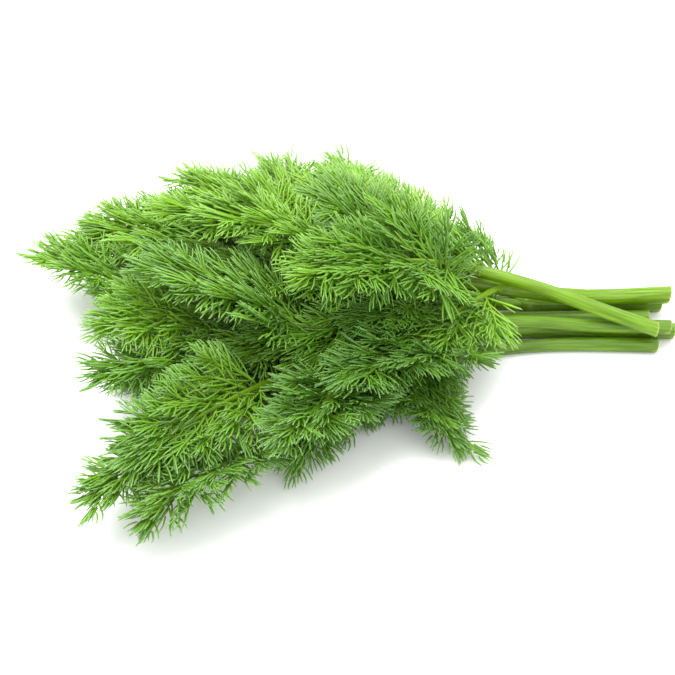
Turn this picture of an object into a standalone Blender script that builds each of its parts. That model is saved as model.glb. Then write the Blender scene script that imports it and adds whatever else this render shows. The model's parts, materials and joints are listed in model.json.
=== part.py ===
"""A bunch of fresh dill lying on its side.

Seven leafy stems are cut through at one end, at +X. Four lie side by side there, two on top of them, and
one across them all. Past their bare lengths they fan out towards -X. A leafy stem grew as one piece, so
it is one solid: a stalk, the fronds that leave it, the pinnae of each frond, and the thread-like leaflets
of each pinna.

Each limb is drawn out of a wall of the limb that carries it, as by extruding faces by hand, and a
leaflet is a wall poked out to a point. A limb that would touch another is aimed elsewhere or left out.
The table is the plane z = 0, and the origin is on it, under the middle of the bunch. Sizes are in metres.
"""

import itertools
import math
import random
from typing import NamedTuple

import bmesh
import bpy
import numpy as np
from mathutils import Matrix, Vector

MM = 0.001
UP = Vector((0, 0, 1))

# The middle of the bunch on the table, before it is moved over the origin.
MIDDLE = Vector((-1.05, -8.79, 0)) * MM

# The bundle of stalks, from the cut ends back to where they part.
STALK_SIDES = 8
STALK_TAPER = 0.62
GRIP_X = 76 * MM
CUT_RING_LENGTH = 4 * MM
CUT_SLANT = 0.25
STEP = 3 * MM

# A frond: its bare petiole, then the rachis with its pairs of pinnae. The least parting is the sine of the
# smallest angle that its root is shaped for, and past the parted distance it keeps clear of its own stalk.
LIMB_SIDES = 4
PETIOLE_RADIUS = 1.30 * MM
RACHIS_RADIUS = 0.80 * MM
LEAST_PARTING = 0.42
BLADE_ROLL = math.radians(26)
PETIOLE_SHARE = 0.28
PINNA_SPOTS = (0.0, 0.24, 0.46, 0.66, 0.84)
NODE_LENGTH = 1.5 * MM
STALK_TIP = 1.5 * NODE_LENGTH
PARTED = 4.5 * MM
FROND_GAP = 2.2 * MM

# A pinna: an axis that forks into thread-like leaflets. Its reach, to their tips, is a share of the frond.
PINNA_REACH = 0.46
PINNA_END_REACH = 0.26
PINNA_RADIUS = 0.62 * MM
PINNA_LEAN = 40
LONG_AXIS = 9 * MM
SIDE_FORK = 0.55
FORK_RADIUS = 0.85 * MM
FORK_PEAK = 0.8 * MM
LEAFLET_LENGTH = 13 * MM
LEAFLET_RADIUS = 0.60 * MM
TIP_RADIUS = 0.05 * MM
SIDE_LEAN = 28
TUFT_SPREAD = 23
TUFT_DEPTH = 15

# Room left between limbs, from surface to surface. A limb touches its kin over its root's share of it.
ROOM_TO_OWN = 0.22 * MM
ROOM_TO_OTHERS = 0.42 * MM
ROOT_SHARE = 0.35
OWN_SIDE = 0.12

# The other ways that a limb is aimed, in degrees sideways and upward, and the shares of its length.
FROND_TRIES = ((0, 0), (0, 5), (0, -5), (6, 0), (-6, 0), (0, 10), (6, 5), (-6, 5), (0, -10), (10, -5),
               (-10, -5), (0, 15), (12, 8), (-12, 8), (16, 0), (-16, 0), (0, 20), (10, 20), (-10, 20),
               (22, 4), (-22, 4), (0, 28), (10, 28), (-10, 28))
PINNA_TRIES = ((0, 0), (0, 12), (0, -12), (12, 0), (-12, 0), (0, 24), (12, 12), (-12, 12), (0, -24))
PINNA_SHARES = (1.0, 0.7)
LEAFLET_TRIES = ((0, 0), (9, 0), (-9, 0), (0, 9), (0, -9), (12, 12), (-12, 12))
LEAFLET_SHARES = (1.0, 0.75)


class Sprig(NamedTuple):
    """One leafy stem: where it is cut and lies in the bundle, and which way its stalk then runs."""

    name: str
    cut_end: tuple  # x, y and z of the stalk's middle, in millimetres
    grip: tuple  # its y and z where the bundle is tightest, in millimetres
    azimuth: float  # degrees off -X at the stalk's end, positive on the far side
    rises: tuple  # degrees above level, where the stalk leaves the bundle and at its end
    length: float  # from the grip to the end of the stalk, in millimetres
    radius: float  # of the stalk at its cut end, in millimetres
    lift: float  # degrees that its fronds rise over what is usual
    spreads: tuple  # degrees from the stalk to each frond in turn, positive on the far side
    seed: int
    green: tuple  # linear red, green and blue


# A stalk with no rises lies flat on the table, whatever its z. A spread of None leaves that place bare.
SPRIGS = (
    Sprig("leafy_stem_1", (98, -9.5, 0), (-8.8, 0), -44, None, 114, 2.5, 0,
          (None, -23, 34, -29, 32, -7), 11, (0.067, 0.184, 0.029)),
    Sprig("leafy_stem_2", (104, -3.2, 0), (-2.8, 0), -14, None, 108, 2.7, 4,
          (None, -39, 26, -46, 30, -6), 28, (0.092, 0.250, 0.027)),
    Sprig("leafy_stem_3", (96, 3.2, 0), (3.2, 0), -4, None, 126, 2.6, 8,
          (None, 40, -41, 45, -18, -4), 15, (0.125, 0.318, 0.025)),
    Sprig("leafy_stem_4", (101, 9.6, 0), (9.4, 0), 18, None, 108, 2.9, 6,
          (12, -46, 42, -28, 41, 4), 32, (0.150, 0.360, 0.030)),
    Sprig("leafy_stem_5", (102, -6.4, 7.4), (-5.8, 7.3), -40, (9, -7), 128, 2.4, -2,
          (None, 46, -96, 29, -8, -10), 15, (0.084, 0.222, 0.028)),
    Sprig("leafy_stem_6", (97, -11.0, 11.0), (-3.2, 13.8), 1, (11, -8), 117, 2.5, -9,
          (None, -40, 22, -8, 30, 12), 91, (0.162, 0.385, 0.025)),
    Sprig("leafy_stem_7", (103, 7.4, 8.6), (6.6, 7.9), 17, (10, -2), 84, 3.0, -2,
          (10, -43, 36, -42, 55, -3), 50, (0.182, 0.419, 0.025)),
)
LEAF_ROUGHNESS = 0.5

# Where fronds leave a stalk, as shares of its fanned length, and how each runs, in millimetres and degrees.
# A frond whose spread is more than SWEPT_BACK bends back towards the cut ends.
FROND_SHARES = (0.21, 0.37, 0.53, 0.68, 0.84, 1.00)
FROND_LENGTHS = (50, 56, 56, 58, 54, 56)
FROND_LIFTS = (10, 18, 8, 18, 8, 4)
FROND_CURL = 12
FROND_DROOP = 32
SWEPT_BACK = 70
SWEPT_LENGTH = 42


def heading(azimuth, rise):
    """The unit vector that many degrees off -X and above level."""
    azimuth, rise = math.radians(azimuth), math.radians(rise)
    return Vector((-math.cos(rise) * math.cos(azimuth), math.cos(rise) * math.sin(azimuth), math.sin(rise)))


def between(first, last, share):
    return first + (last - first) * share


def trail(start, azimuths, rises, length, radii):
    """Points along a limb whose azimuth and rise change evenly, and which lies on the table at its lowest."""
    count = max(2, round(length / STEP))
    points = [start]
    for i in range(count):
        share = (i + 0.5) / count
        point = points[-1] + heading(between(*azimuths, share), between(*rises, share)) * (length / count)
        point.z = max(point.z, between(*radii, share), FORK_RADIUS)
        points.append(point)
    return points


class Rail:
    """A line through points, read by the distance along it."""

    def __init__(self, points):
        self.points = points
        self.marks = [0.0]
        for a, b in zip(points, points[1:]):
            self.marks.append(self.marks[-1] + (b - a).length)
        self.length = self.marks[-1]

    def at(self, distance):
        """The point that far along."""
        distance = min(max(distance, 0.0), self.length)
        i = next(i for i, mark in enumerate(self.marks[1:]) if distance <= mark)
        share = (distance - self.marks[i]) / (self.marks[i + 1] - self.marks[i])
        return self.points[i].lerp(self.points[i + 1], share)

    def forward(self, distance):
        """The direction of growth there."""
        return (self.at(distance + STEP) - self.at(distance - STEP)).normalized()


class Thicket:
    """Every limb laid so far, as straight lengths with a radius at each end, to keep the next one clear."""

    def __init__(self):
        self.rows = np.empty((0, 10))
        self.waiting = []

    def add(self, start, end, radii, owner, kin):
        """The owner is a leafy stem's number, and limbs that leave one spot share a number for their kin."""
        self.waiting.append([*start, *end, *radii, owner, kin])

    def gaps(self, start, end, radii):
        """The room from this length to every other, and those others' owners and kin."""
        if self.waiting:
            self.rows = np.vstack([self.rows, self.waiting])
            self.waiting = []
        p, d = np.array(start), np.array(end) - np.array(start)
        q, e = self.rows[:, 0:3], self.rows[:, 3:6] - self.rows[:, 0:3]
        r = p - q
        a, b, c, f, g = d @ d, e @ d, r @ d, (e * r).sum(1), (e * e).sum(1)
        s = np.clip((b * f - c * g) / np.maximum(a * g - b * b, 1e-18), 0, 1)
        t = np.clip((b * s + f) / g, 0, 1)
        s = np.clip((b * t - c) / a, 0, 1)
        apart = np.linalg.norm(r + s[:, None] * d - t[:, None] * e, axis=1)
        own = between(*radii, s)
        other = between(self.rows[:, 6], self.rows[:, 7], t)
        return apart - own - other, self.rows[:, 8], self.rows[:, 9]

    def is_clear(self, start, end, radii, owner, kin):
        """Whether this length keeps its room, from its kin only past its root."""
        room, owners, kins = self.gaps(start, end, radii)
        if (room[owners != owner] < ROOM_TO_OTHERS).any():
            return False
        if (room[(owners == owner) & (kins != kin)] < ROOM_TO_OWN).any():
            return False
        past_root = start.lerp(end, ROOT_SHARE)
        room, owners, kins = self.gaps(past_root, end, (between(*radii, ROOT_SHARE), radii[1]))
        return not (room[kins == kin] < ROOM_TO_OWN).any()


def turned(direction, across, up, sideways, upward):
    """The direction turned by those degrees in the plane of across, then towards up."""
    turn = Matrix.Rotation(math.radians(sideways), 3, up)
    tilt = Matrix.Rotation(-math.radians(upward), 3, across)
    return tilt @ turn @ direction


def above_table(point, radius):
    return Vector((point.x, point.y, max(point.z, radius)))


class Fork:
    """Where leaflets leave an axis, with the axis's direction and the plane that they spread in."""

    def __init__(self, centre, forward, across, up):
        self.centre, self.forward, self.across, self.up = centre, forward, across, up
        self.leaflets = []  # pairs of the way that the root wall faces and the tip

    def sprout(self, facing, lean, length, thicket, owner, kin, rng):
        """Adds the leaflet that leans that far from the axis, if some way on its own side is clear."""
        length *= rng.uniform(0.85, 1.12)
        lean += rng.uniform(-5, 5)
        side = facing.cross(self.forward).normalized()
        straight = Matrix.Rotation(-math.radians(lean), 3, side) @ self.forward
        radii = LEAFLET_RADIUS, TIP_RADIUS
        for share in LEAFLET_SHARES:
            for sideways, upward in LEAFLET_TRIES:
                way = turned(straight, self.across, self.up, sideways, upward)
                tip = above_table(self.centre + way * length * share, 0)
                if (tip - self.centre).dot(facing) < OWN_SIDE * length:
                    continue
                if thicket.is_clear(self.centre, tip, radii, owner, kin):
                    thicket.add(self.centre, tip, radii, owner, kin)
                    self.leaflets.append((facing, tip))
                    return


class Pinna(NamedTuple):
    """An axis that leaves the rachis on one side and has leaflets at each of its forks."""

    kin: int
    spot: int
    facing: Vector
    forks: list


class Frond:
    """A rail from the stalk's middle to the last fork, with the way that its blade faces."""

    def __init__(self, owner, kin, distance, rail, roll):
        self.owner, self.kin, self.distance, self.rail, self.roll = owner, kin, distance, rail, roll
        self.spots = [between(PETIOLE_SHARE, 1, share) * rail.length for share in PINNA_SPOTS]
        self.pinnae = []
        self.end_fork = None

    def frame(self, distance):
        """Forward, across and up there: across lies in the blade."""
        forward = self.rail.forward(distance)
        across = UP.cross(forward).normalized()
        across.rotate(Matrix.Rotation(self.roll, 3, forward))
        return forward, across, forward.cross(across)

    def radius(self, distance):
        return between(PETIOLE_RADIUS, RACHIS_RADIUS, distance / self.rail.length)


def stalk_radius(sprig, share):
    return sprig.radius * MM * between(1, STALK_TAPER, share)


def lay_stalk(sprig):
    """The stalk's rail from its cut end, nearly straight to the grip and then out to its azimuth."""
    cut = Vector(sprig.cut_end) * MM
    grip = Vector((GRIP_X, *(v * MM for v in sprig.grip)))
    lean = math.degrees(math.atan2(grip.y - cut.y, cut.x - grip.x))
    radii = stalk_radius(sprig, 0), stalk_radius(sprig, 1)
    fan = trail(grip, (lean, sprig.azimuth), sprig.rises or (0, 0), sprig.length * MM, radii)
    stalk = Rail([cut, *fan])
    if sprig.rises is None:
        for point, mark in zip(stalk.points, stalk.marks):
            point.z = stalk_radius(sprig, mark / stalk.length) * math.cos(math.pi / STALK_SIDES)
    return stalk


def lay_frond(owner, sprig, stalk, i, kins, thicket, rng):
    """Frond i, the first way for it that keeps clear of every stalk and frond so far, or the clearest."""
    distance = stalk.length - sprig.length * MM * (1 - FROND_SHARES[i]) - STALK_TIP
    start, forward = stalk.at(distance), stalk.forward(distance)
    spread = sprig.spreads[i]
    azimuth = math.degrees(math.atan2(forward.y, -forward.x)) + spread + rng.uniform(-5, 5)
    rise = math.degrees(math.asin(forward.z)) + FROND_LIFTS[i] + sprig.lift
    curl, length = -math.copysign(FROND_CURL, spread), FROND_LENGTHS[i]
    if abs(spread) > SWEPT_BACK:
        curl, length = -curl, SWEPT_LENGTH
    length *= MM * rng.uniform(0.92, 1.08)
    radii = PETIOLE_RADIUS, RACHIS_RADIUS
    best, best_room = None, -1
    for sideways, upward in FROND_TRIES:
        azimuths = azimuth + sideways, azimuth + sideways + curl
        rises = rise + upward, rise + upward - FROND_DROOP
        points = trail(start, azimuths, rises, length, radii)
        free = [point for point in points if (point - start).length > PARTED]
        room = min(thicket.gaps(a, b, radii)[0].min() for a, b in zip(free, free[1:]))
        if room > best_room:
            best, best_room = points, room
        if room > FROND_GAP:
            break
    if best_room < ROOM_TO_OTHERS:
        return None
    frond = Frond(owner, next(kins), distance, Rail(best), rng.uniform(-BLADE_ROLL, BLADE_ROLL))
    for a, b in zip(best, best[1:]):
        thicket.add(a, b, radii, owner, frond.kin)
    return frond


def lay_pinna(frond, i, side, kins, thicket, rng):
    """The pinna at spot i on that side, if some way is clear for its axis."""
    spot = frond.spots[i]
    forward, across, up = frond.frame(spot)
    facing = across * side
    reach = between(PINNA_REACH, PINNA_END_REACH, PINNA_SPOTS[i]) * frond.rail.length
    length = max(reach - LEAFLET_LENGTH, 3 * PINNA_RADIUS) * rng.uniform(0.9, 1.1)
    start = frond.rail.at(spot) + facing * frond.radius(spot)
    radii = PINNA_RADIUS, FORK_RADIUS
    for share in PINNA_SHARES:
        for sideways, upward in PINNA_TRIES:
            way = turned(forward, across, up, side * (PINNA_LEAN + sideways), upward + rng.uniform(-6, 10))
            end = above_table(start + way * length * share, FORK_RADIUS)
            if thicket.is_clear(start, end, radii, frond.owner, frond.kin):
                break
        else:
            continue
        break
    else:
        return None
    kin = next(kins)
    thicket.add(start, end, radii, frond.owner, kin)
    way = (end - start).normalized()
    across = up.cross(way).normalized()
    up = way.cross(across)
    marks = (SIDE_FORK, 1) if length * share > LONG_AXIS else (1,)
    return Pinna(kin, i, facing, [Fork(start.lerp(end, mark), way, across, up) for mark in marks])


def sprout_all(fork, is_end, thicket, owner, kin, rng):
    """A fork's leaflets: a tuft of four at an axis's end, or one on each side along it."""
    for way in (1, -1):
        lean = TUFT_SPREAD if is_end else SIDE_LEAN
        fork.sprout(fork.across * way, lean, LEAFLET_LENGTH, thicket, owner, kin, rng)
    if is_end:
        for way in (1, -1):
            fork.sprout(fork.up * way, TUFT_DEPTH, LEAFLET_LENGTH, thicket, owner, kin, rng)


def lay_out():
    """Plans the whole bunch, order by order, so that the larger limbs find their places first."""
    thicket = Thicket()
    kins = itertools.count()
    rngs = [random.Random(sprig.seed) for sprig in SPRIGS]
    stalks = [lay_stalk(sprig) for sprig in SPRIGS]
    for owner, (sprig, stalk) in enumerate(zip(SPRIGS, stalks)):
        kin = next(kins)
        for i, (a, b) in enumerate(zip(stalk.points, stalk.points[1:])):
            radii = [stalk_radius(sprig, stalk.marks[j] / stalk.length) for j in (i, i + 1)]
            thicket.add(a, b, radii, owner, kin)
    fronds = []
    for i in reversed(range(len(FROND_SHARES))):
        for owner, (sprig, stalk) in enumerate(zip(SPRIGS, stalks)):
            if sprig.spreads[i] is not None:
                fronds.append(lay_frond(owner, sprig, stalk, i, kins, thicket, rngs[owner]))
    fronds = [frond for frond in fronds if frond]
    for i in range(len(PINNA_SPOTS)):
        for frond in fronds:
            for side in (1, -1):
                pinna = lay_pinna(frond, i, side, kins, thicket, rngs[frond.owner])
                if pinna:
                    frond.pinnae.append(pinna)
    for frond in fronds:
        frond.end_fork = Fork(frond.rail.at(frond.rail.length), *frond.frame(frond.rail.length))
        sprout_all(frond.end_fork, True, thicket, frond.owner, frond.kin, rngs[frond.owner])
        for pinna in frond.pinnae:
            for fork in pinna.forks:
                sprout_all(fork, fork is pinna.forks[-1], thicket, frond.owner, pinna.kin, rngs[frond.owner])
    return stalks, fronds


def ring(centre, forward, across, up, radius, sides):
    """Corners of a limb's outline, anticlockwise as seen from its tip, with a wall facing each side."""
    turns = [math.tau * (i + 0.5) / sides for i in range(sides)]
    return [centre + (across * math.cos(turn) + up * math.sin(turn)) * radius for turn in turns]


def draw_out(bm, wall, corners):
    """Extrudes a wall to new corners. Returns the new end and the walls around it."""
    end = bmesh.ops.extrude_discrete_faces(bm, faces=[wall])["faces"][0]
    count = len(corners)
    turn = min(
        range(count),
        key=lambda k: sum((corners[(i + k) % count] - v.co).length for i, v in enumerate(end.verts)),
    )
    for i, vert in enumerate(end.verts):
        vert.co = corners[(i + turn) % count]
    walls = [next(face for face in edge.link_faces if face is not end) for edge in end.edges]
    for face in (end, *walls):
        face.normal_update()
    return end, walls


def take(walls, direction):
    """Takes from the list the wall that most faces that way."""
    wall = max(walls, key=lambda wall: wall.normal.dot(direction))
    walls.remove(wall)
    return wall


def poke_out(bm, wall, tip):
    """Pokes a wall out to a point. Returns the faces that meet there."""
    poked = bmesh.ops.poke(bm, faces=[wall])
    poked["verts"][0].co = tip
    for face in poked["faces"]:
        face.normal_update()
    return poked["faces"]


def grow_tuft(bm, end, fork):
    """The leaflets at an axis's end: it is raised to a low peak, and each side of the peak is poked out."""
    slopes = poke_out(bm, end, fork.centre + fork.forward * FORK_PEAK)
    for side, tip in fork.leaflets:
        poke_out(bm, take(slopes, side), tip)


def grow_pinna(bm, wall, pinna):
    end = wall
    for fork in pinna.forks:
        axes = fork.forward, fork.across, fork.up
        if fork is pinna.forks[-1]:
            end, _ = draw_out(bm, end, ring(fork.centre, *axes, FORK_RADIUS, LIMB_SIDES))
            grow_tuft(bm, end, fork)
            continue
        for shift in (-1, 1):
            centre = fork.centre + fork.forward * NODE_LENGTH / 2 * shift
            end, walls = draw_out(bm, end, ring(centre, *axes, PINNA_RADIUS, LIMB_SIDES))
        for side, tip in fork.leaflets:
            poke_out(bm, take(walls, side), tip)


def grow_frond(bm, wall, frond, stalk_gap):
    """Draws a frond out of a wall of the stalk, then its pinnae out of the rachis's own walls."""
    def drawn_to(end, distance):
        corners = ring(frond.rail.at(distance), *frond.frame(distance), frond.radius(distance), LIMB_SIDES)
        return draw_out(bm, end, corners)

    parting = max(LEAST_PARTING, wall.normal.dot(frond.rail.forward(0)))
    root = (stalk_gap + PETIOLE_RADIUS + ROOM_TO_OWN) / parting
    end, _ = drawn_to(wall, root)
    end, _ = drawn_to(end, between(root, frond.spots[0], 0.5))
    nodes = []
    for spot in frond.spots:
        end, _ = drawn_to(end, spot - NODE_LENGTH / 2)
        end, walls = drawn_to(end, spot + NODE_LENGTH / 2)
        nodes.append(walls)
    fork = frond.end_fork
    end, _ = draw_out(bm, end, ring(fork.centre, fork.forward, fork.across, fork.up, FORK_RADIUS, LIMB_SIDES))
    grow_tuft(bm, end, fork)
    for pinna in frond.pinnae:
        grow_pinna(bm, take(nodes[pinna.spot], pinna.facing), pinna)


def grow_sprig(bm, sprig, stalk, fronds):
    """Grows the whole leafy stem from its cut end."""
    def corners_at(distance):
        """The stalk's outline there. Across is level, so one of its walls faces down."""
        forward = stalk.forward(distance)
        if sprig.rises is None:
            forward = Vector((forward.x, forward.y, 0)).normalized()
        across = UP.cross(forward).normalized()
        radius = stalk_radius(sprig, distance / stalk.length)
        return ring(stalk.at(distance), forward, across, forward.cross(across), radius, STALK_SIDES)

    bmesh.ops.create_cone(bm, cap_ends=True, segments=STALK_SIDES, radius1=1, radius2=1, depth=1)
    end = take(bm.faces[:], UP)
    for vert, corner in zip(end.verts, corners_at(CUT_RING_LENGTH)):
        cut = next(edge.other_vert(vert) for edge in vert.link_edges if edge not in end.edges[:])
        cut.co = corner + stalk.at(0) - stalk.at(CUT_RING_LENGTH)
        cut.co.x += CUT_SLANT * (cut.co.z - stalk.at(0).z)
        vert.co = corner
    grip = stalk.length - sprig.length * MM
    end, _ = draw_out(bm, end, corners_at(grip))
    last = grip
    sockets = []
    for frond in sorted(fronds, key=lambda frond: frond.distance):
        end, _ = draw_out(bm, end, corners_at(between(last, frond.distance, 0.5)))
        end, _ = draw_out(bm, end, corners_at(frond.distance - NODE_LENGTH))
        last = frond.distance + NODE_LENGTH
        end, walls = draw_out(bm, end, corners_at(last))
        sockets.append((frond, walls))
    poke_out(bm, end, stalk.at(stalk.length))
    for frond, walls in sockets:
        radius = stalk_radius(sprig, frond.distance / stalk.length)
        grow_frond(bm, take(walls, frond.rail.forward(STEP)), frond, radius)


def make_material(sprig):
    material = bpy.data.materials.new(sprig.name)
    material.use_nodes = True
    shader = material.node_tree.nodes["Principled BSDF"]
    shader.inputs["Base Color"].default_value = (*sprig.green, 1)
    shader.inputs["Roughness"].default_value = LEAF_ROUGHNESS
    shader.inputs["Metallic"].default_value = 0
    return material


def main():
    for obj in list(bpy.data.objects):
        bpy.data.objects.remove(obj)
    bunch = bpy.data.collections.new("dill_bunch")
    bpy.context.scene.collection.children.link(bunch)
    stalks, fronds = lay_out()
    for owner, (sprig, stalk) in enumerate(zip(SPRIGS, stalks)):
        bm = bmesh.new()
        grow_sprig(bm, sprig, stalk, [frond for frond in fronds if frond.owner == owner])
        bmesh.ops.translate(bm, verts=bm.verts, vec=-MIDDLE)
        mesh = bpy.data.meshes.new(sprig.name)
        bm.to_mesh(mesh)
        bm.free()
        mesh.materials.append(make_material(sprig))
        bunch.objects.link(bpy.data.objects.new(sprig.name, mesh))


main()
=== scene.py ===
# A bunch of fresh dill lying on its side. Seven leafy stems are cut through together, at +X, and fan out
# towards -X. Each is made in two pieces, the stalk with its leaf stems and the green thread-like leaf,
# which together stand for the solid of the same name.

import itertools
import json
import math
import random
from typing import NamedTuple

import bpy
import numpy as np
from mathutils import Matrix, Vector


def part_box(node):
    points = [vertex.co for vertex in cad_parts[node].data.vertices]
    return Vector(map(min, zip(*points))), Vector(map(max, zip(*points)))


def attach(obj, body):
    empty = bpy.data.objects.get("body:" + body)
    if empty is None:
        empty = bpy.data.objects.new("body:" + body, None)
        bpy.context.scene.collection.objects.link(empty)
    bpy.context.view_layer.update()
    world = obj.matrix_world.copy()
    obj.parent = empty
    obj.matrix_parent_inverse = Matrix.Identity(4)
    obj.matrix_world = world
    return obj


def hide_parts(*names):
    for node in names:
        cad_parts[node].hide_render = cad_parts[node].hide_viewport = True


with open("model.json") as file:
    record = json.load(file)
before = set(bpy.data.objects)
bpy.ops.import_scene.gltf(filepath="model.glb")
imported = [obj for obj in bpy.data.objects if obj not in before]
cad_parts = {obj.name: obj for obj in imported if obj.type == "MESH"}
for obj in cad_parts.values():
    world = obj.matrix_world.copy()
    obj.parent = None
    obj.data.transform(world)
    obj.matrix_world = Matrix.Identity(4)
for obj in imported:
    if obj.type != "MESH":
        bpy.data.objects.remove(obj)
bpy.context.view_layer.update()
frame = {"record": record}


# ----------------------------------------------------------------------------------------------------
# How the stalks lie. Each is cut at +X, runs nearly straight to where the bundle is tightest, and then
# bends away. The first four lie flat on the table, the fifth and seventh on top of them, and the sixth
# across them all.

MM = 0.001
UP = Vector((0, 0, 1))
MIDDLE = Vector((-1.05, -8.79, 0)) * MM  # of the bunch on the table, before it is moved over the origin
STALK_SIDES = 8  # of a stalk's solid, which lies on one of them
STALK_TAPER = 0.62
GRIP_X = 76 * MM
CUT_SLANT = 0.25
STEP = 3 * MM
LOWEST = 0.85 * MM  # for the middle of any limb


class Sprig(NamedTuple):
    """One leafy stem: where it is cut and lies in the bundle, and which way its stalk then runs."""

    name: str
    cut_end: tuple  # x, y and z of the stalk's middle, in millimetres
    grip: tuple  # its y and z where the bundle is tightest, in millimetres
    azimuth: float  # degrees off -X at the stalk's end, positive on the far side
    rises: tuple  # degrees above level, where the stalk leaves the bundle and at its end
    length: float  # from the grip to the end of the stalk, in millimetres
    radius: float  # of the stalk at its cut end, in millimetres
    lift: float  # degrees that its fronds rise over what is usual
    spreads: tuple  # degrees from the stalk to each frond in turn, positive on the far side
    seed: int


# A stalk with no rises lies flat on the table, whatever its z. A spread of None leaves that place bare.
SPRIGS = (
    Sprig("leafy_stem_1", (98, -9.5, 0), (-8.8, 0), -44, None, 114, 2.5, 0,
          (None, -23, 34, -29, 32, -7), 11),
    Sprig("leafy_stem_2", (104, -3.2, 0), (-2.8, 0), -14, None, 108, 2.7, 4,
          (None, -39, 26, -46, 30, -6), 28),
    Sprig("leafy_stem_3", (96, 3.2, 0), (3.2, 0), -4, None, 126, 2.6, 8,
          (None, 40, -41, 45, -18, -4), 15),
    Sprig("leafy_stem_4", (101, 9.6, 0), (9.4, 0), 18, None, 108, 2.9, 6,
          (12, -46, 42, -28, 41, 4), 32),
    Sprig("leafy_stem_5", (102, -6.4, 7.4), (-5.8, 7.3), -40, (9, -7), 128, 2.4, -2,
          (None, 46, -96, 29, -8, -10), 15),
    Sprig("leafy_stem_6", (97, -11.0, 11.0), (-3.2, 13.8), 1, (11, -8), 117, 2.5, -9,
          (None, -40, 22, -8, 30, 12), 91),
    Sprig("leafy_stem_7", (103, 7.4, 8.6), (6.6, 7.9), 17, (10, -2), 84, 3.0, -2,
          (10, -43, 36, -42, 55, -3), 50),
)


def heading(azimuth, rise):
    """The unit vector that many degrees off -X and above level."""
    azimuth, rise = math.radians(azimuth), math.radians(rise)
    return Vector((-math.cos(rise) * math.cos(azimuth), math.cos(rise) * math.sin(azimuth), math.sin(rise)))


def between(first, last, share):
    """The value that far on the way from the first to the last."""
    return first + (last - first) * share


def trail(start, azimuths, rises, length, radii):
    """Points along a limb whose azimuth and rise change evenly, and which lies on the table at its lowest."""
    count = max(2, round(length / STEP))
    points = [start]
    for i in range(count):
        share = (i + 0.5) / count
        point = points[-1] + heading(between(*azimuths, share), between(*rises, share)) * (length / count)
        point.z = max(point.z, between(*radii, share), LOWEST)
        points.append(point)
    return points


class Rail:
    """A line through points, read by the distance along it."""

    def __init__(self, points):
        self.points = points
        self.marks = [0.0]
        for a, b in zip(points, points[1:]):
            self.marks.append(self.marks[-1] + (b - a).length)
        self.length = self.marks[-1]

    def at(self, distance):
        """The point that far along."""
        distance = min(max(distance, 0.0), self.length)
        i = next(i for i, mark in enumerate(self.marks[1:]) if distance <= mark)
        share = (distance - self.marks[i]) / (self.marks[i + 1] - self.marks[i])
        return self.points[i].lerp(self.points[i + 1], share)

    def forward(self, distance):
        """The direction of growth there."""
        return (self.at(distance + STEP) - self.at(distance - STEP)).normalized()


def stalk_radius(sprig, share):
    """The stalk's radius at that share of its length."""
    return sprig.radius * MM * between(1, STALK_TAPER, share)


def lay_stalk(sprig):
    """The stalk's rail from its cut end, nearly straight to the grip and then out to its azimuth."""
    cut = Vector(sprig.cut_end) * MM
    grip = Vector((GRIP_X, *(v * MM for v in sprig.grip)))
    lean = math.degrees(math.atan2(grip.y - cut.y, cut.x - grip.x))
    radii = stalk_radius(sprig, 0), stalk_radius(sprig, 1)
    fan = trail(grip, (lean, sprig.azimuth), sprig.rises or (0, 0), sprig.length * MM, radii)
    stalk = Rail([cut, *fan])
    if sprig.rises is None:
        for point, mark in zip(stalk.points, stalk.marks):
            point.z = stalk_radius(sprig, mark / stalk.length) * math.cos(math.pi / STALK_SIDES)
    return stalk


stalks = [lay_stalk(sprig) for sprig in SPRIGS]


# ----------------------------------------------------------------------------------------------------
# How the fronds lie. A frond is one whole leaf: it leaves its stalk at a joint, rises and droops in an
# arc, and is turned aside where another limb is in its way. The last fronds find their places first.

PETIOLE_RADIUS = 1.30 * MM
RACHIS_RADIUS = 0.80 * MM
BLADE_ROLL = math.radians(26)
STALK_TIP = 2.25 * MM
PARTED = 4.5 * MM
FROND_GAP = 2.2 * MM
LEAST_GAP = 0.42 * MM
FROND_SHARES = (0.21, 0.37, 0.53, 0.68, 0.84, 1.00)  # of the stalk from the grip on, place by place
FROND_LENGTHS = (50, 56, 56, 58, 54, 56)  # in millimetres
FROND_LIFTS = (10, 18, 8, 18, 8, 4)  # degrees above the stalk
LENGTH_STRAY = (0.92, 1.08)
SPREAD_STRAY = (-5, 5)
FROND_CURL = 12
FROND_DROOP = 32
SWEPT_BACK = 70  # degrees of spread, past which a frond is short and curls the other way
SWEPT_LENGTH = 42
# Degrees turned aside and raised, in the order in which they are tried.
FROND_TRIES = ((0, 0), (0, 5), (0, -5), (6, 0), (-6, 0), (0, 10), (6, 5), (-6, 5), (0, -10), (10, -5),
               (-10, -5), (0, 15), (12, 8), (-12, 8), (16, 0), (-16, 0), (0, 20), (10, 20), (-10, 20),
               (22, 4), (-22, 4), (0, 28), (10, 28), (-10, 28))


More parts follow.
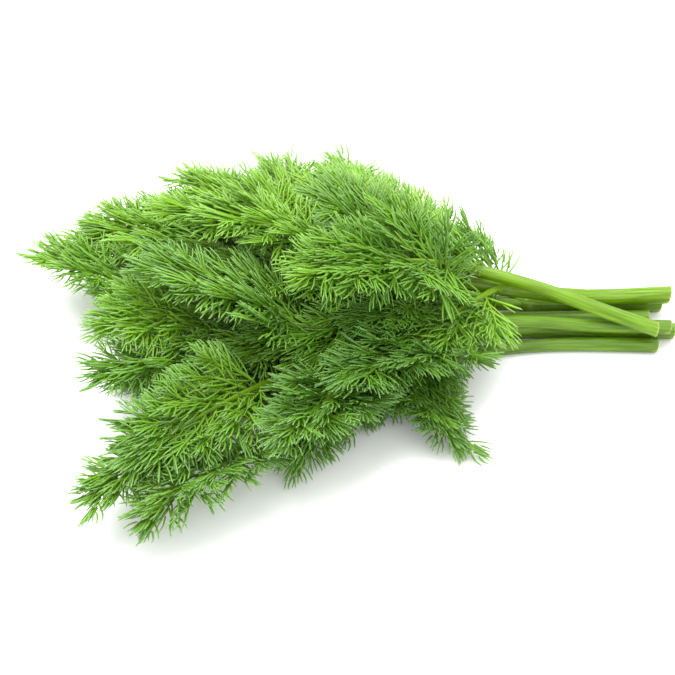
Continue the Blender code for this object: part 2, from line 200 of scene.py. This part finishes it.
class Thicket:
    """Every limb laid so far, as straight lengths with a radius at each end."""

    def __init__(self):
        self.rows = np.empty((0, 9))

    def add(self, points, radii, kin):
        """The limb through those points. Each has the radius given for it, and the limb its own number."""
        lengths = [[*a, *b, r, s, kin] for a, b, r, s in zip(points, points[1:], radii, radii[1:])]
        self.rows = np.vstack([self.rows, lengths])

    def room(self, start, end, radii, but=-1):
        """The room from a straight length to the nearest limb, surface to surface, but for one limb.

        The two lines come closest at the shares s and t of their lengths.
        """
        rows = self.rows[self.rows[:, 8] != but]
        p, d = np.array(start), np.array(end) - np.array(start)
        q, e = rows[:, 0:3], rows[:, 3:6] - rows[:, 0:3]
        r = p - q
        a, b, c, f, g = d @ d, e @ d, r @ d, (e * r).sum(1), (e * e).sum(1)
        s = np.clip((b * f - c * g) / np.maximum(a * g - b * b, 1e-18), 0, 1)
        t = np.clip((b * s + f) / g, 0, 1)
        s = np.clip((b * t - c) / a, 0, 1)
        apart = np.linalg.norm(r + s[:, None] * d - t[:, None] * e, axis=1)
        return (apart - between(*radii, s) - between(rows[:, 6], rows[:, 7], t)).min()


class Frond(NamedTuple):
    """A frond's owner, its number as a limb, how far along its stalk it leaves, its rail and its roll."""

    owner: int
    kin: int
    distance: float
    rail: Rail
    roll: float

    def frame(self, distance):
        """Forward, across and up there: across lies in the blade."""
        forward = self.rail.forward(distance)
        across = UP.cross(forward).normalized()
        across.rotate(Matrix.Rotation(self.roll, 3, forward))
        return forward, across, forward.cross(across)


def lay_frond(owner, kin, i, thicket, rng):
    """Frond i of that stalk, the first way for it that keeps clear of every limb so far, or the clearest."""
    sprig, stalk = SPRIGS[owner], stalks[owner]
    distance = stalk.length - sprig.length * MM * (1 - FROND_SHARES[i]) - STALK_TIP
    start, forward = stalk.at(distance), stalk.forward(distance)
    spread = sprig.spreads[i]
    azimuth = math.degrees(math.atan2(forward.y, -forward.x)) + spread + rng.uniform(*SPREAD_STRAY)
    rise = math.degrees(math.asin(forward.z)) + FROND_LIFTS[i] + sprig.lift
    curl, length = -math.copysign(FROND_CURL, spread), FROND_LENGTHS[i]
    if abs(spread) > SWEPT_BACK:
        curl, length = -curl, SWEPT_LENGTH
    length *= MM * rng.uniform(*LENGTH_STRAY)
    radii = PETIOLE_RADIUS, RACHIS_RADIUS
    best, best_room = None, -1
    for sideways, upward in FROND_TRIES:
        azimuths = azimuth + sideways, azimuth + sideways + curl
        rises = rise + upward, rise + upward - FROND_DROOP
        points = trail(start, azimuths, rises, length, radii)
        free = [point for point in points if (point - start).length > PARTED]
        room = min(thicket.room(a, b, radii) for a, b in zip(free, free[1:]))
        if room > best_room:
            best, best_room = points, room
        if room > FROND_GAP:
            break
    if best_room < LEAST_GAP:
        return None
    frond = Frond(owner, kin, distance, Rail(best), rng.uniform(-BLADE_ROLL, BLADE_ROLL))
    for a, b in zip(best, best[1:]):
        thicket.add([a, b], radii, kin)
    return frond


thicket = Thicket()
kins = itertools.count()
for sprig, stalk in zip(SPRIGS, stalks):
    radii = [stalk_radius(sprig, mark / stalk.length) for mark in stalk.marks]
    thicket.add(stalk.points, radii, next(kins))
rngs = [random.Random(sprig.seed) for sprig in SPRIGS]
fronds = []
for i in reversed(range(len(FROND_SHARES))):
    for owner, sprig in enumerate(SPRIGS):
        if sprig.spreads[i] is not None:
            fronds.append(lay_frond(owner, next(kins), i, thicket, rngs[owner]))
fronds = [frond for frond in fronds if frond]


# ----------------------------------------------------------------------------------------------------
# The stalks and leaf stems: a smooth, juicy, ribbed tube that tapers to its end, with a glossy green skin
# finely streaked along it. Each leaf stem clasps the stalk in a sheath and then thins along the frond.
# The cut ends are a little hollow, with pale pith.

RIBS = 12
GROOVE = 0.95
OVERRUN = 3 * MM
RIM = 0.45 * MM
PITH_DEPTH = 0.5 * MM
CUT_DEPTH = 0.1 * MM
BEND = 9 * MM
TIP_TAPER = 0.3
SHEATH_LENGTH = 9 * MM
SHEATH_RINGS = (0, 0.35, 0.7, 0.95)  # shares of the sheath's length
SHEATH_SWELL = (0.9, 1.16)  # times the stalk's radius, at the sheath's foot and at its mouth
LEAF_STEM_RIBS = 4
LEAF_STEM_RADII = ((0.10, 1.30 * MM), (0.24, 0.95 * MM), (1.0, 0.36 * MM))  # each at its share
WELD = 0.001 * MM
SHARP_EDGE = math.radians(50)

# A tint is what a green's red, green and blue are taken times. A likeness is how far each stem's own green
# gives way to the common one.
STALK_GREEN = (0.138, 0.330, 0.020)
STALK_LIKENESS = 0.5
SKIN_TINT = (0.58, 0.50, 0.10)
STREAK_TINT = (1.15, 0.95, 0.50)
PATCH_TINT = (1.0, 0.78, 0.20)
CUT_COLOUR = (0.30, 0.26, 0.08, 1)
PITH_COLOUR = (0.50, 0.58, 0.24, 1)
GLOW = (1.0, 1.4, 0.4)  # how far red, green and blue light reach into the flesh, one against another


def choose(*pieces):
    """Selects these pieces alone. The first is the active one."""
    bpy.ops.object.select_all(action="DESELECT")
    for piece in pieces:
        piece.select_set(True)
    bpy.context.view_layer.objects.active = pieces[0]


def join(pieces, name):
    """Makes the pieces one, with its place in its mesh."""
    choose(*pieces)
    bpy.ops.object.join()
    bpy.ops.object.transform_apply(location=True, rotation=True, scale=True)
    pieces[0].name = pieces[0].data.name = name
    return pieces[0]


def ribbed_outline(ribs):
    """A flat closed curve of radius 1 with that many ribs."""
    bpy.ops.object.select_all(action="DESELECT")
    bpy.ops.mesh.primitive_circle_add(vertices=2 * ribs, radius=1)
    outline = bpy.context.object
    bpy.ops.object.mode_set(mode="EDIT")
    bpy.ops.mesh.select_all(action="DESELECT")
    bpy.ops.object.mode_set(mode="OBJECT")
    for vert in outline.data.vertices:
        vert.select = vert.index % 2 == 1
    bpy.ops.object.mode_set(mode="EDIT")
    bpy.ops.transform.resize(value=(GROOVE, GROOVE, 1), center_override=(0, 0, 0))
    bpy.ops.object.mode_set(mode="OBJECT")
    bpy.ops.object.convert(target="CURVE")
    return outline


def mark_grain(tube, points):
    """Notes for each vertex how far along the points it is, how far aside of them and how far above."""
    rail = Rail(points)
    line, marks = np.array(points), np.array(rail.marks)
    grain = tube.data.attributes.new("grain", "FLOAT_VECTOR", "POINT")
    for vert, spot in zip(tube.data.vertices, grain.data):
        nearest = np.linalg.norm(line - np.array(vert.co), axis=1).argmin()
        off = vert.co - rail.points[nearest]
        across = UP.cross(rail.forward(marks[nearest])).normalized()
        spot.vector = Vector((marks[nearest], off.dot(across), off.z))


def draw_tube(points, radii, outline):
    """A closed tube of that outline through the points, each with its own radius."""
    line = bpy.data.curves.new("line", "CURVE")
    line.dimensions = "3D"
    line.twist_mode = "Z_UP"
    line.bevel_mode = "OBJECT"
    line.bevel_object = outline
    line.use_fill_caps = True
    spline = line.splines.new("POLY")
    spline.points.add(len(points) - 1)
    for spot, point, radius in zip(spline.points, points, radii):
        spot.co = (*point, 1)
        spot.radius = radius
    tube = bpy.data.objects.new("tube", line)
    bpy.context.collection.objects.link(tube)
    choose(tube)
    bpy.ops.object.convert(target="MESH")
    bpy.ops.object.mode_set(mode="EDIT")
    bpy.ops.mesh.select_all(action="SELECT")
    bpy.ops.mesh.remove_doubles(threshold=WELD)
    bpy.ops.mesh.normals_make_consistent(inside=False)
    bpy.ops.object.mode_set(mode="OBJECT")
    mark_grain(tube, points)
    return tube


def eased(rail, mark):
    """The point that far along the rail, with its bends made gentle."""
    reach = min(BEND, mark, rail.length - mark)
    if reach <= 0:
        return rail.at(mark)
    return (rail.at(mark - reach) + rail.at(mark) * 2 + rail.at(mark + reach)) / 4


def make_stalk(sprig, stalk, outline):
    """The stalk itself, cut off aslant and hollowed at the cut. Its "pith" is 1 in there, 0.5 on the rim."""
    marks = [-OVERRUN, *np.arange(0, stalk.length, STEP), stalk.length - STALK_TIP / 2, stalk.length]
    points = [eased(stalk, mark) for mark in marks]
    points[0] = points[1] - stalk.forward(0) * OVERRUN
    radii = [stalk_radius(sprig, max(mark, 0) / stalk.length) for mark in marks]
    radii[-1] *= TIP_TAPER
    tube = draw_tube(points, radii, outline)
    cut, outwards = stalk.at(0), Vector((1, 0, -CUT_SLANT))
    bpy.ops.object.mode_set(mode="EDIT")
    bpy.ops.mesh.select_all(action="SELECT")
    bpy.ops.mesh.bisect(plane_co=cut, plane_no=outwards, use_fill=True, clear_outer=True)
    bpy.ops.mesh.inset(thickness=RIM)
    bpy.ops.transform.translate(value=(-PITH_DEPTH, 0, 0))
    bpy.ops.mesh.inset(thickness=RIM)
    bpy.ops.object.mode_set(mode="OBJECT")
    pith = tube.data.attributes.new("pith", "FLOAT", "POINT")
    for vert, grade in zip(tube.data.vertices, pith.data):
        at_the_cut = (vert.co - cut).dot(outwards) > -CUT_DEPTH
        grade.value = 1.0 if vert.select else 0.5 * at_the_cut
    return tube


def leaf_stem_radius(share):
    """The radius at that share of a leaf stem, once it has left its sheath."""
    shares, radii = zip(*LEAF_STEM_RADII)
    return float(np.interp(share, shares, radii))


def make_leaf_stem(frond, outline):
    """A leaf stem with the sheath that it clasps the stalk in."""
    sprig, stalk, rail = SPRIGS[frond.owner], stalks[frond.owner], frond.rail
    own = stalk_radius(sprig, frond.distance / stalk.length)
    points, radii = [], []
    for share in SHEATH_RINGS:
        points.append(stalk.at(frond.distance - SHEATH_LENGTH * (1 - share)))
        radii.append(own * between(*SHEATH_SWELL, share))
    for distance in (*np.arange(STEP, rail.length, STEP), rail.length):
        points.append(rail.at(distance))
        radii.append(leaf_stem_radius(distance / rail.length))
    return draw_tube(points, radii, outline)


class Signal:
    """A node's output, which adds its own Math nodes where it stands in an expression."""

    def __init__(self, finish, socket):
        self.finish, self.socket = finish, socket

    def math(self, operation, first, second):
        return self.finish.node("ShaderNodeMath", {"operation": operation}, {0: first, 1: second})

    def __sub__(self, other):
        return self.math("SUBTRACT", self, other)

    def __rsub__(self, other):
        return self.math("SUBTRACT", other, self)

    def __mul__(self, other):
        return self.math("MULTIPLY", self, other)

    __rmul__ = __mul__


class Finish:
    """A material under way. Every node comes from its node method, which gives back the node's signal."""

    def __init__(self, name):
        self.material = bpy.data.materials.new(name)
        self.material.use_nodes = True
        self.shader = self.material.node_tree.nodes["Principled BSDF"]

    def feed(self, socket, value):
        """Links a signal to the socket, or sets the socket to a value."""
        if isinstance(value, Signal):
            self.material.node_tree.links.new(value.socket, socket)
        else:
            socket.default_value = value

    def node(self, kind, settings, sockets, output=0):
        """Adds a node of that kind, its settings first and then what goes into its sockets."""
        made = self.material.node_tree.nodes.new(kind)
        for name, value in settings.items():
            setattr(made, name, value)
        for key, value in sockets.items():
            self.feed(made.inputs[key], value)
        return Signal(self, made.outputs[output])

    def mix(self, first, second, share):
        """From the first colour to the second."""
        return self.node("ShaderNodeMix", {"data_type": "RGBA"}, {0: share, 6: first, 7: second}, 2)

    def noise(self, place, scale):
        """A soft pattern of spots, from about 0.3 to 0.7."""
        return self.node("ShaderNodeTexNoise", {}, {"Vector": place, "Scale": scale})

    def ramp(self, value, low, high):
        """0 up to the low value, 1 from the high one, and even between them."""
        return self.node("ShaderNodeMapRange", {}, {"Value": value, "From Min": low, "From Max": high})

    def set(self, **values):
        """Sets or links the shader's own sockets, named with _ for a space."""
        for name, value in values.items():
            self.feed(self.shader.inputs[name.replace("_", " ")], value)


def tint(colour, by):
    """The colour with its red, green and blue each taken that many times, as a shader's colour."""
    return (*(min(c * b, 1) for c, b in zip(colour, by)), 1)


greens = {material["slot"]: material["base_color"] for material in frame["record"]["materials"]}


def stalk_finish(sprig):
    """Pale streaks and yellow patches on glossy green. The grain is drawn out along the stalk."""
    finish = Finish(sprig.name + "_stalk")
    green = [between(own, common, STALK_LIKENESS) for own, common in zip(greens[sprig.name], STALK_GREEN)]
    place = finish.node("ShaderNodeTexCoord", {}, {}, "Object")
    grain = finish.node("ShaderNodeAttribute", {"attribute_name": "grain"}, {}, "Vector")
    drawn_out = finish.node("ShaderNodeMapping", {}, {"Vector": grain, "Scale": (0.05, 1, 1)})
    streaks = finish.ramp(finish.noise(drawn_out, 1300.0), 0.42, 0.62)
    patches = finish.ramp(finish.noise(place, 45.0), 0.35, 0.70)
    skin = finish.mix(tint(green, SKIN_TINT), tint(green, STREAK_TINT), streaks * 0.8)
    skin = finish.mix(skin, tint(green, PATCH_TINT), patches * 0.5)
    pith = finish.node("ShaderNodeAttribute", {"attribute_name": "pith"}, {}, "Fac")
    skin = finish.mix(skin, CUT_COLOUR, finish.ramp(pith, 0.1, 0.5) * 0.6)
    skin = finish.mix(skin, PITH_COLOUR, finish.ramp(pith, 0.6, 1.0))
    height = {"Strength": 0.35, "Distance": 0.15 * MM, "Height": streaks}
    bump = finish.node("ShaderNodeBump", {}, height, "Normal")
    finish.set(Base_Color=skin, Roughness=0.30, Specular_IOR_Level=0.30, Normal=bump,
               Subsurface_Weight=0.25, Subsurface_Radius=GLOW, Subsurface_Scale=1.2 * MM)
    return finish.material


stalk_outline = ribbed_outline(RIBS)
leaf_stem_outline = ribbed_outline(LEAF_STEM_RIBS)
for owner, (sprig, stalk) in enumerate(zip(SPRIGS, stalks)):
    tubes = [make_stalk(sprig, stalk, stalk_outline)]
    tubes += [make_leaf_stem(frond, leaf_stem_outline) for frond in fronds if frond.owner == owner]
    piece = join(tubes, sprig.name + "_stalk")
    for vert in piece.data.vertices:
        vert.co.z = max(vert.co.z, 0)
    piece.data.transform(Matrix.Translation(-MIDDLE))
    choose(piece)
    bpy.ops.object.shade_smooth_by_angle(angle=SHARP_EDGE)
    piece.data.materials.append(stalk_finish(sprig))
    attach(piece, "root")
    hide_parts(sprig.name)
bpy.data.objects.remove(stalk_outline)
bpy.data.objects.remove(leaf_stem_outline)


# ----------------------------------------------------------------------------------------------------
# The limbs of a leaf, which is divided and divided again into soft green threads. Threads leave a longer
# thread in a fork, and forks leave both sides of an axis, which with them is a pinna. One thread, a few
# forks and a set of pinnae are made here, growing along +X, and then copied to wherever they grow.

THREAD_LENGTH = 17 * MM
THREAD_RADIUS = 0.40 * MM
THREAD_SIDES = 4
THREAD_RINGS = ((0, 0.6), (0.18, 1.0), (0.60, 0.92), (0.92, 0.60), (1.0, 0.02))  # where, and how thick
THREAD_BOW = 0.16

# The shares of its length at which other threads leave the long one, for each sort of fork.
FORK_SPOTS = ((0.34,), (0.28, 0.52), (0.24, 0.44), (0.22, 0.40, 0.58), (0.16, 0.32, 0.48, 0.64))
FORK_TWIST = (-40, 40)
BRANCH_LEAN = (20, 32)
BRANCH_LENGTH = (0.78, 1.0)
BRANCH_GIRTH = 0.92
BRANCH_RISE = (-10, 10)
BRANCH_TONE = (-0.04, 0.04)

PINNA_SORTS = 3
LARGEST_PINNA = 6
AXIS_GIRTH = 1.15
FORK_SPACING = 3.8 * MM
FORK_START = 0.7  # of the gap between two forks
SPACING_STRAY = (-0.15, 0.15)
FORK_SIZES = (0.92, 0.74)
SIZE_STRAY = (0.88, 1.12)
FORK_ROLL = (-22, 22)
FORK_LEAN = 34
FORK_LEAN_STRAY = (-7, 7)
FORK_RISE = (-16, 16)
FULLNESS = (1.2, 4.4)  # the sort of fork, by its place in FORK_SPOTS, at the root and at the end
FULLNESS_STRAY = (-1, 1)
END_FORK_RISE = (-8, 8)
END_FORK_ROLL = (-35, 35)
END_FORK_LENGTH = 0.9


def make_thread():
    """One thread, from its root at the origin to a blunt point on +X, a little bowed."""
    bpy.ops.object.select_all(action="DESELECT")
    bpy.ops.mesh.primitive_circle_add(vertices=THREAD_SIDES, radius=THREAD_RINGS[0][1] * THREAD_RADIUS,
                                      fill_type="NGON", rotation=(0, math.pi / 2, 0))
    thread = bpy.context.object
    bpy.ops.object.transform_apply(rotation=True)
    bpy.ops.object.mode_set(mode="EDIT")
    bpy.ops.mesh.select_all(action="SELECT")
    for (last, girth), (share, grown) in zip(THREAD_RINGS, THREAD_RINGS[1:]):
        aside, bow = THREAD_BOW * last ** 2, THREAD_BOW * share ** 2
        step = ((share - last) * THREAD_LENGTH, (bow - aside) * THREAD_LENGTH, 0)
        bpy.ops.mesh.extrude_region_move(TRANSFORM_OT_translate={"value": step})
        centre, size = (share * THREAD_LENGTH, bow * THREAD_LENGTH, 0), grown / girth
        bpy.ops.transform.resize(value=(1, size, size), center_override=centre)
    bpy.ops.mesh.merge(type="CENTER")
    bpy.ops.mesh.select_all(action="SELECT")
    bpy.ops.mesh.normals_make_consistent(inside=False)
    bpy.ops.object.mode_set(mode="OBJECT")
    for layer in list(thread.data.uv_layers):
        thread.data.uv_layers.remove(layer)
    growth = thread.data.uv_layers.new(name="growth")
    for loop, spot in zip(thread.data.loops, growth.data):
        spot.uv = (0, thread.data.vertices[loop.vertex_index].co.x / THREAD_LENGTH)
    return thread


def copy_to(master, place, tone=0.0, growth=None):
    """A copy with its own mesh, put where that matrix says. The tone sets its shade apart."""
    piece = master.copy()
    piece.data = master.data.copy()
    bpy.context.collection.objects.link(piece)
    piece.matrix_world = place @ piece.matrix_world
    layer = piece.data.uv_layers["growth"].uv
    values = np.empty(2 * len(layer), np.float32)
    layer.foreach_get("vector", values)
    values[0::2] += tone
    if growth is not None:
        values[1::2] = growth
    layer.foreach_set("vector", values)
    return piece


def leaning(start, lean, rise, roll, size):
    """The place of a limb that leaves +X at start, leaning to +Y, rising to +Z and rolled, in degrees."""
    turn = Matrix.Rotation(math.radians(lean), 4, "Z") @ Matrix.Rotation(-math.radians(rise), 4, "Y")
    turn = turn @ Matrix.Rotation(math.radians(roll), 4, "X")
    return Matrix.Translation((start, 0, 0)) @ turn @ Matrix.Diagonal((*size, 1))


def make_fork(thread, spots, rng):
    """A thread that others leave at those shares of its length, bowed towards its end."""
    parts = [copy_to(thread, leaning(0, 0, 0, rng.uniform(*FORK_TWIST), (1, 1, 1)))]
    side = rng.choice((1, -1))
    for spot in spots:
        lean = side * rng.uniform(*BRANCH_LEAN)
        size = ((1 - spot) * rng.uniform(*BRANCH_LENGTH), BRANCH_GIRTH, BRANCH_GIRTH)
        roll = 180 if side > 0 else 0
        place = leaning(spot * THREAD_LENGTH, lean, rng.uniform(*BRANCH_RISE), roll, size)
        parts.append(copy_to(thread, place, rng.uniform(*BRANCH_TONE)))
        side = -side
    return join(parts, "fork")


def make_pinna(thread, forks, pairs, rng):
    """A bowed axis with that many pairs of forks, fuller towards its end, and one at its end."""
    reach = pairs * FORK_SPACING
    bow = THREAD_BOW * AXIS_GIRTH
    axis_size = (reach * AXIS_GIRTH / THREAD_LENGTH, AXIS_GIRTH, AXIS_GIRTH)
    parts = [copy_to(thread, leaning(0, 0, 0, 0, axis_size), growth=0)]
    for i in range(2 * pairs):
        share = (i + FORK_START + rng.uniform(*SPACING_STRAY)) / (2 * pairs)
        side = 1 if i % 2 else -1
        size = between(*FORK_SIZES, share) * rng.uniform(*SIZE_STRAY)
        roll = rng.uniform(*FORK_ROLL) + (180 if side > 0 else 0)
        lean = side * (FORK_LEAN + rng.uniform(*FORK_LEAN_STRAY))
        place = leaning(share * reach, lean, rng.uniform(*FORK_RISE), roll, (size, 1, 1))
        fullness = round(between(*FULLNESS, share) + rng.uniform(*FULLNESS_STRAY))
        fork = forks[min(max(fullness, 0), len(forks) - 1)]
        aside = Matrix.Translation((0, bow * share ** 2 * reach, 0))
        parts.append(copy_to(fork, aside @ place, rng.uniform(0, 1)))
    rise, roll = rng.uniform(*END_FORK_RISE), rng.uniform(*END_FORK_ROLL)
    place = leaning(reach, math.degrees(2 * bow), rise, roll, (END_FORK_LENGTH, 1, 1))
    aside = Matrix.Translation((0, bow * reach, 0))
    parts.append(copy_to(forks[-1], aside @ place, rng.uniform(0, 1)))
    return join(parts, "pinna")


rng = random.Random(41)
thread = make_thread()
forks = [make_fork(thread, spots, rng) for spots in FORK_SPOTS]
pinnae = {pairs: [make_pinna(thread, forks, pairs, rng) for _ in range(PINNA_SORTS)]
          for pairs in range(1, LARGEST_PINNA + 1)}


# ----------------------------------------------------------------------------------------------------
# The leaf of each leafy stem, a soft green haze of threads: pinnae in pairs along every frond, longest near
# its foot, and a tuft at its end. Each keeps above the table and no higher than its stem's solid, and turns
# aside from any stalk or leaf stem. The green is palest at the tips and has painted shade in the bunch's
# heart.

PETIOLE_SHARE = 0.28
# The shares of the blade's length at which pinnae grow. The first pair is a little before its foot.
PINNA_SPOTS = (-0.13, 0.0, 0.12, 0.24, 0.35, 0.46, 0.56, 0.66, 0.75, 0.84, 0.92)
PINNA_REACH = (0.54, 0.31)  # shares of the frond's length, at the blade's foot and at its end
REACH_STRAY = (0.85, 1.12)
PINNA_LEAN = (44, 24)
LEAN_STRAY = (-6, 6)
PINNA_LIFT = (-12, 22)
PINNA_TRIES = ((0, 0), (0, 12), (0, -12), (12, 0), (-12, 0), (0, 24), (12, 12), (-12, 12), (0, -24))
USUAL_FROND = 60 * MM
END_FORK = 0.85 * THREAD_LENGTH
LEAST_GIRTH = 0.9
ROOT_LENGTH = 2.5 * MM  # a pinna's first stretch, which may be close to other limbs
TRIED_SHARE = 0.8  # of its reach, up to which it has to be clear of them
AXIS_RADII = (0.5 * MM, 0.5 * MM)
CLEAR = 0.2 * MM
TUFT_REACH = 16 * MM
TUFT_LENGTH = 0.85
TABLE_GAP = 1.0 * MM
HEADROOM = 4.0 * MM  # from a pinna's end up to the top of its stem's solid
SOFT_DEPTH = 2.5 * MM

LEAF_GREEN = (0.172, 0.410, 0.036)
LEAF_LIKENESS = 0.5
DEEP_TINT = (0.48, 0.56, 0.20)
FRESH_TINT = (1.05, 0.96, 0.55)
YELLOW_TINT = (1.25, 1.0, 0.4)
TIP_TINT = (1.70, 1.22, 4.4)
# Painted shade: the leaf is darkened towards a point in the heart of the bunch, where shade falls among the
# stems. It is whole within the first reach and gone past the second.
PAINTED_SHADE_TINT = (0.25, 0.36, 0.15)
PAINTED_SHADE_CENTRE = Vector((8, -19, 22)) * MM
PAINTED_SHADE_REACH = (10 * MM, 55 * MM)  # where its shade is whole, and where it ends


def growing(start, way, up, size):
    """The matrix that puts the root of something that grows along +X at start, facing that way."""
    side = up.cross(way).normalized()
    turn = Matrix((way, side, way.cross(side))).transposed().to_4x4()
    return Matrix.Translation(start) @ turn @ Matrix.Diagonal((*size, 1))


def kept_in(way, start, reach, ceiling):
    """That way of growing, but with its end between the table and the ceiling."""
    way = way.copy()
    way.z = min(max(way.z, (TABLE_GAP - start.z) / reach), (ceiling - start.z) / reach)
    return way.normalized()


def find_way(frond, spot, side, distance, reach, ceiling, rng):
    """The way for a pinna to grow on that side: the first that is clear of other limbs, or else the last."""
    start = frond.rail.at(distance)
    forward, across, up = frond.frame(distance)
    lean = between(*PINNA_LEAN, spot) + rng.uniform(*LEAN_STRAY)
    lift = rng.uniform(*PINNA_LIFT)
    for sideways, upward in PINNA_TRIES:
        turn = Matrix.Rotation(side * math.radians(lean + sideways), 3, up)
        tilt = Matrix.Rotation(-math.radians(lift + upward), 3, across)
        way = kept_in(tilt @ turn @ forward, start, reach, ceiling)
        root, end = start + way * ROOT_LENGTH, start + way * reach * TRIED_SHARE
        if thicket.room(root, end, AXIS_RADII, frond.kin) > CLEAR:
            break
    return way


def dress_frond(frond, rng):
    """The pinnae of one frond and the tuft at its end."""
    parts = []
    size = frond.rail.length / USUAL_FROND
    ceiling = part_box(SPRIGS[frond.owner].name)[1][2] - HEADROOM
    for spot in PINNA_SPOTS:
        distance = between(PETIOLE_SHARE, 1, spot) * frond.rail.length
        up = frond.frame(distance)[2]
        reach = between(*PINNA_REACH, spot) * frond.rail.length * rng.uniform(*REACH_STRAY)
        pairs = min(max(round((reach - END_FORK * size) / (FORK_SPACING * size)), 1), LARGEST_PINNA)
        scale = reach / (pairs * FORK_SPACING + END_FORK)
        girth = max(scale, LEAST_GIRTH)
        for side in (1, -1):
            way = find_way(frond, spot, side, distance, reach, ceiling, rng)
            place = growing(frond.rail.at(distance), way, -up * side, (scale, girth, girth))
            parts.append(copy_to(rng.choice(pinnae[pairs]), place, rng.uniform(0, 1)))
    forward, _, up = frond.frame(frond.rail.length)
    end = frond.rail.at(frond.rail.length)
    place = growing(end, kept_in(forward, end, TUFT_REACH, ceiling), up, (TUFT_LENGTH, 1, 1))
    parts.append(copy_to(rng.choice(pinnae[1]), place, rng.uniform(0, 1)))
    return parts


def settle(piece):
    """Presses whatever dips into the table back above it, softly."""
    values = np.empty(3 * len(piece.data.vertices), np.float32)
    piece.data.vertices.foreach_get("co", values)
    z = values[2::3]
    low = z < SOFT_DEPTH
    z[low] = SOFT_DEPTH * np.exp((z[low] - SOFT_DEPTH) / SOFT_DEPTH)
    piece.data.vertices.foreach_set("co", values)
    piece.data.update()


def leaf_finish(sprig):
    """A shade of its own for each thread, with yellow patches, pale tips and painted shade in the heart of
    the bunch.
    """
    finish = Finish(sprig.name + "_leaf")
    green = [between(own, common, LEAF_LIKENESS) for own, common in zip(greens[sprig.name], LEAF_GREEN)]
    place = finish.node("ShaderNodeTexCoord", {}, {}, "Object")
    growth = finish.node("ShaderNodeUVMap", {"uv_map": "growth"}, {})
    tone = finish.node("ShaderNodeSeparateXYZ", {}, {"Vector": growth}, "X")
    along = finish.node("ShaderNodeSeparateXYZ", {}, {"Vector": growth}, "Y")
    shade = finish.node("ShaderNodeTexWhiteNoise", {"noise_dimensions": "1D"}, {"W": tone * 7.0}, "Value")
    patches = finish.ramp(finish.noise(place, 38.0), 0.35, 0.68)
    off_painted_shade = finish.node("ShaderNodeVectorMath", {"operation": "DISTANCE"}, {0: place, 1: PAINTED_SHADE_CENTRE}, "Value")
    leaf = finish.mix(tint(green, DEEP_TINT), tint(green, FRESH_TINT), shade)
    leaf = finish.mix(leaf, tint(green, YELLOW_TINT), patches * 0.5)
    leaf = finish.mix(leaf, tint(green, TIP_TINT), finish.ramp(along, 0.45, 1.0) * 0.6)
    # Painted shade: the leaf darkens towards the heart of the bunch, where little light gets in.
    leaf = finish.mix(leaf, tint(green, PAINTED_SHADE_TINT), (1 - finish.ramp(off_painted_shade, *PAINTED_SHADE_REACH)) * 0.7)
    finish.set(Base_Color=leaf, Roughness=0.40, Specular_IOR_Level=0.35,
               Subsurface_Weight=0.3, Subsurface_Radius=GLOW, Subsurface_Scale=0.6 * MM)
    return finish.material


rng = random.Random(43)
for owner, sprig in enumerate(SPRIGS):
    parts = []
    for frond in fronds:
        if frond.owner == owner:
            parts += dress_frond(frond, rng)
    piece = join(parts, sprig.name + "_leaf")
    settle(piece)
    piece.data.transform(Matrix.Translation(-MIDDLE))
    choose(piece)
    bpy.ops.object.shade_smooth()
    piece.data.materials.append(leaf_finish(sprig))
    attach(piece, "root")
    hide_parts(sprig.name)
for master in (thread, *forks, *itertools.chain(*pinnae.values())):
    bpy.data.objects.remove(master)


# ----------------------------------------------------------------------------------------------------
# The table, a plain matt white sheet that everything lies on. A wide lamp overhead, a weaker one in front
# and the white room all round light it softly, and the eye looks down on it at half a right angle.

TABLE_SIZE = 6.0
TABLE_GREYS = ((0.90, 0.90, 0.90, 1), (0.93, 0.93, 0.93, 1))
ROOM_LIGHT = 1.32
EYE_DISTANCE = 0.75
EYE_RISE = math.radians(45)
VIEW_WIDTH = 220.7 * MM  # of what the eye takes in, as far off as AIM
AIM = Vector((-4.22, 6.60, -1.5)) * MM

bpy.ops.object.select_all(action="DESELECT")
bpy.ops.mesh.primitive_plane_add(size=TABLE_SIZE)
table = bpy.context.object
table.name = "table"
finish = Finish("table")
place = finish.node("ShaderNodeTexCoord", {}, {}, "Object")
clouds = finish.ramp(finish.noise(place, 3.0), 0.2, 0.8)
finish.set(Base_Color=finish.mix(*TABLE_GREYS, clouds), Roughness=0.6)
table.data.materials.append(finish.material)


def add_lamp(name, size, power, direction, distance):
    """A square lamp on that side of the bunch, turned to it."""
    light = bpy.data.lights.new(name, "AREA")
    light.size = size
    light.energy = power
    lamp = bpy.data.objects.new(name, light)
    bpy.context.collection.objects.link(lamp)
    direction = Vector(direction).normalized()
    lamp.location = direction * distance
    lamp.rotation_euler = direction.to_track_quat("Z", "Y").to_euler()


add_lamp("window", 0.9, 16, (-0.20, 0.25, 1.0), 1.0)
add_lamp("fill", 0.8, 4, (0.3, -0.8, 0.9), 1.2)

world = bpy.data.worlds.new("room")
world.use_nodes = True
world.node_tree.nodes["Background"].inputs["Color"].default_value = (1, 1, 1, 1)
world.node_tree.nodes["Background"].inputs["Strength"].default_value = ROOM_LIGHT
bpy.context.scene.world = world
bpy.context.scene.view_settings.view_transform = "Standard"

eye = bpy.data.cameras.new("eye")
eye.lens = eye.sensor_width * EYE_DISTANCE / VIEW_WIDTH
camera = bpy.data.objects.new("eye", eye)
bpy.context.collection.objects.link(camera)
camera.location = AIM + Vector((0, -math.cos(EYE_RISE), math.sin(EYE_RISE))) * EYE_DISTANCE
camera.rotation_euler = (math.pi / 2 - EYE_RISE, 0, 0)
bpy.context.scene.camera = camera
